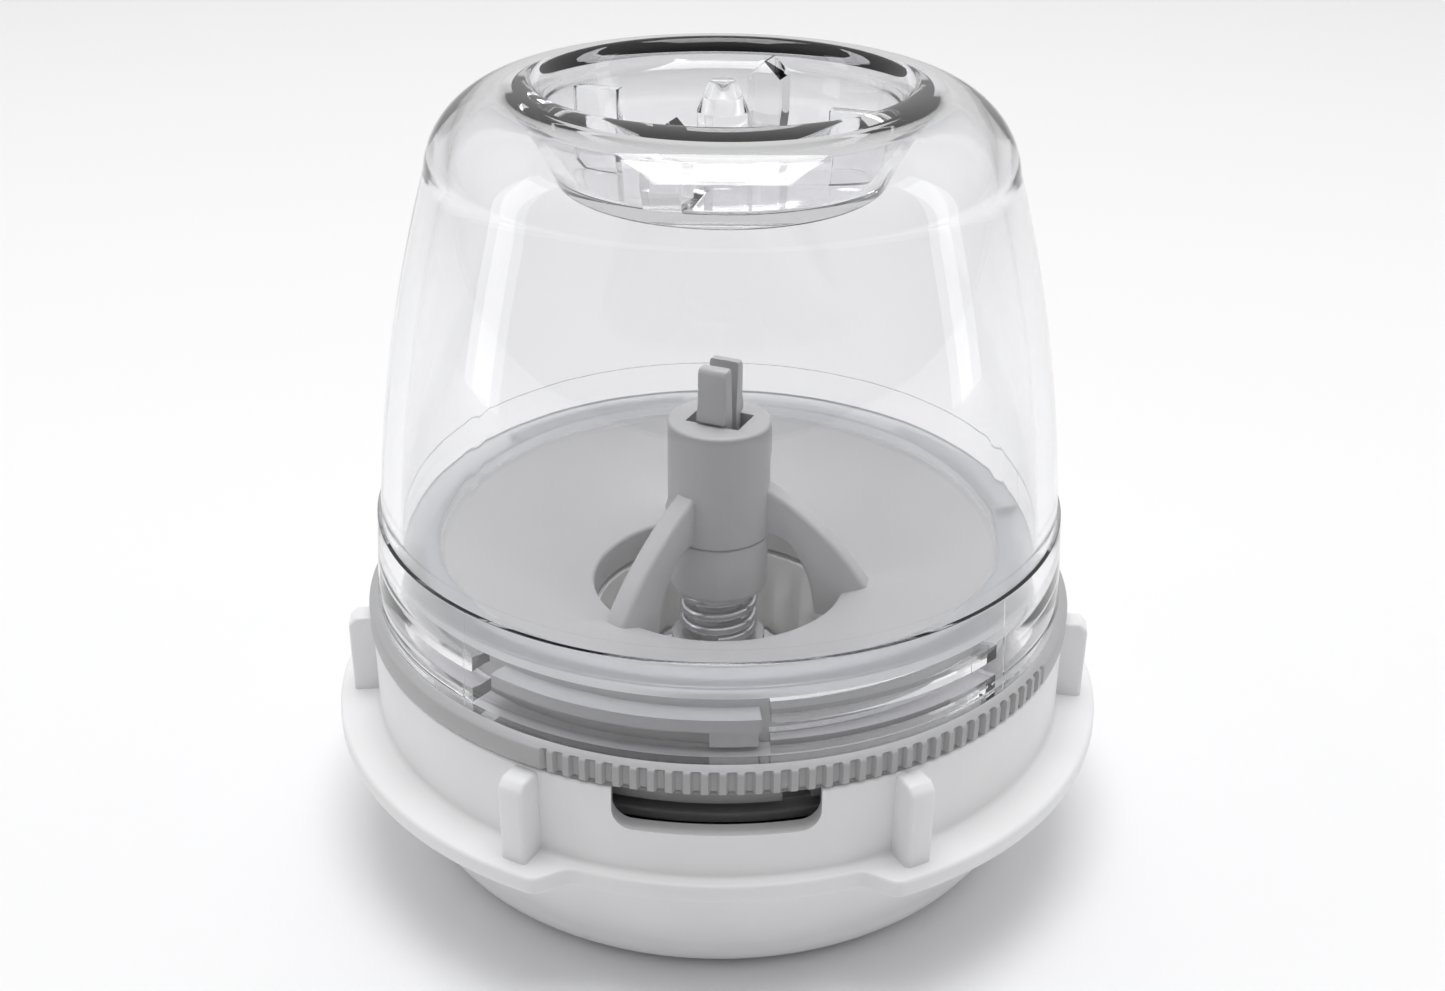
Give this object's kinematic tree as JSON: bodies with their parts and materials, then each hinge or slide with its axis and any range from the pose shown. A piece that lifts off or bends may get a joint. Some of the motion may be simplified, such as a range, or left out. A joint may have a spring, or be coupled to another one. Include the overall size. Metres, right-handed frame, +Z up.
{
  "type": "grinding mill attachment",
  "caption": "Grinding mill attachment: clear upturned hopper jar on a grey head with a sprung hub, knurled setting ring, white drive collar with posts and a rounded base.",
  "frame": {"origin": "on the axis of the rotor, level with the flat foot ring that the base stands on", "axes": "+Z up along the axis of every joint; -Y is the front, where the collar's window is; +X is to the right seen from the front, along the flange's longest span"},
  "size_m": [0.1136, 0.1058, 0.11],
  "materials": {
    "clear_plastic": "moulded clear plastic, polished",
    "clear_silicone": "clear silicone, satin",
    "grey_plastic": "moulded, fine satin",
    "white_plastic": "moulded, satin",
    "black_plastic": "moulded, matt",
    "spring_steel": "drawn, bright",
    "machined_steel": "turned",
    "ceramic": "pressed and fired, pale grey, matt",
    "black_rubber": "matt",
    "bronze": "sintered"
  },
  "bodies": {
    "base": {"base_bowl": "white_plastic", "collar_liner": "black_plastic", "collar_seal": "black_rubber", "drive_collar": "white_plastic", "grinder_body": "grey_plastic", "spring_holder": "grey_plastic", "lower_bush": "bronze", "shaft_seal": "black_rubber"},
    "setting_ring": {"grip_ring": "grey_plastic"},
    "carrier": {"burr_carrier": "grey_plastic", "outer_burr": "ceramic", "burr_clamp": "machined_steel", "clamp_screw_1": "machined_steel", "clamp_screw_2": "machined_steel", "clamp_screw_3": "machined_steel", "adjuster_pin_1": "machined_steel", "adjuster_pin_2": "machined_steel", "adjuster_pin_3": "machined_steel"},
    "gasket": {"jar_gasket": "clear_silicone"},
    "jar": {"hopper_jar": "clear_plastic"},
    "spring_seat": {"thrust_washer": "machined_steel", "spring": "spring_steel"},
    "rotor": {"drive_shaft": "machined_steel", "burr_clip": "spring_steel", "inner_burr": "ceramic", "drive_coupling": "black_plastic", "coupling_screw": "machined_steel"}
  },
  "joints": [
    {"name": "grind_setting", "type": "hinge", "parent": "base", "child": "setting_ring", "pos_m": [0, 0, 0.0346], "axis": [0, 0, 1], "range_deg": [-40, 40]},
    {"name": "burr_gap", "type": "slide", "parent": "base", "child": "carrier", "axis": [0, 0, 1], "range_m": [-0.0005, 0.0005]},
    {"name": "jar_lift", "type": "slide", "parent": "base", "child": "gasket", "axis": [0, 0, 1], "range_m": [0, 0.06]},
    {"name": "jar_twist", "type": "hinge", "parent": "gasket", "child": "jar", "pos_m": [0, 0, 0.0466], "axis": [0, 0, 1], "range_deg": [0, 38]},
    {"name": "rotor_float", "type": "slide", "parent": "base", "child": "spring_seat", "axis": [0, 0, 1], "range_m": [0, 0.0012], "stiffness_N_per_m": 800, "springref_m": -0.003, "deforming": ["spring"]},
    {"name": "rotor_spin", "type": "hinge", "parent": "spring_seat", "child": "rotor", "pos_m": [0, 0, 0.0266], "axis": [0, 0, 1], "continuous": true}
  ],
  "couplings": [
    {"joint": "grind_setting", "follows": "burr_gap", "rad_per_m": 1396}
  ]
}
